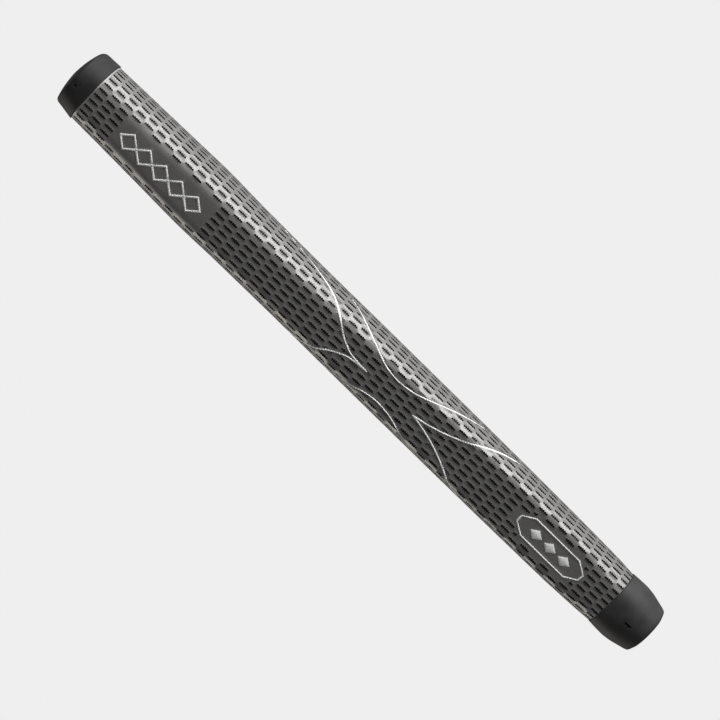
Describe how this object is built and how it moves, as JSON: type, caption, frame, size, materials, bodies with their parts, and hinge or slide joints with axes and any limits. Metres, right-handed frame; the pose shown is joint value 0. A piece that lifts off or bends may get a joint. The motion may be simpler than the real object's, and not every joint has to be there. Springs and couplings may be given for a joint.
{
  "type": "golf grip",
  "caption": "Slip-on putter grip with a flat front, a dash-textured polymer wrap on a rubber core, and black rubber butt and mouth caps.",
  "frame": {"origin": "on the axis of the shaft bore, in the plane of the open mouth", "axes": "+Z along the bore from the mouth to the butt cap, -Y out of the flat front, +X to the right when the flat front is looked at with the butt up"},
  "size_m": [0.0246, 0.0294, 0.2667],
  "materials": {
    "polymer_skin": "charcoal grey soft polymer with a rough sheen",
    "black_rubber": "matte moulded black rubber",
    "core_rubber": "matte black foamed rubber",
    "felt": "dense grey felt",
    "seam_adhesive": "smooth dark seam adhesive",
    "white_paint": "satin off-white paint"
  },
  "bodies": {
    "root": {"core_sleeve": "core_rubber", "felt_backing": "felt", "skin_wrap": "polymer_skin", "back_seam_bead": "seam_adhesive", "butt_cap": "black_rubber", "mouth_cap": "black_rubber", "upper_vee_line": "white_paint", "lower_vee_line": "white_paint", "right_arc_line": "white_paint", "left_arc_line": "white_paint", "diamond_chain": "white_paint", "badge_frame": "white_paint", "badge_diamond_1": "white_paint", "badge_diamond_2": "white_paint", "badge_diamond_3": "white_paint"}
  },
  "joints": []
}
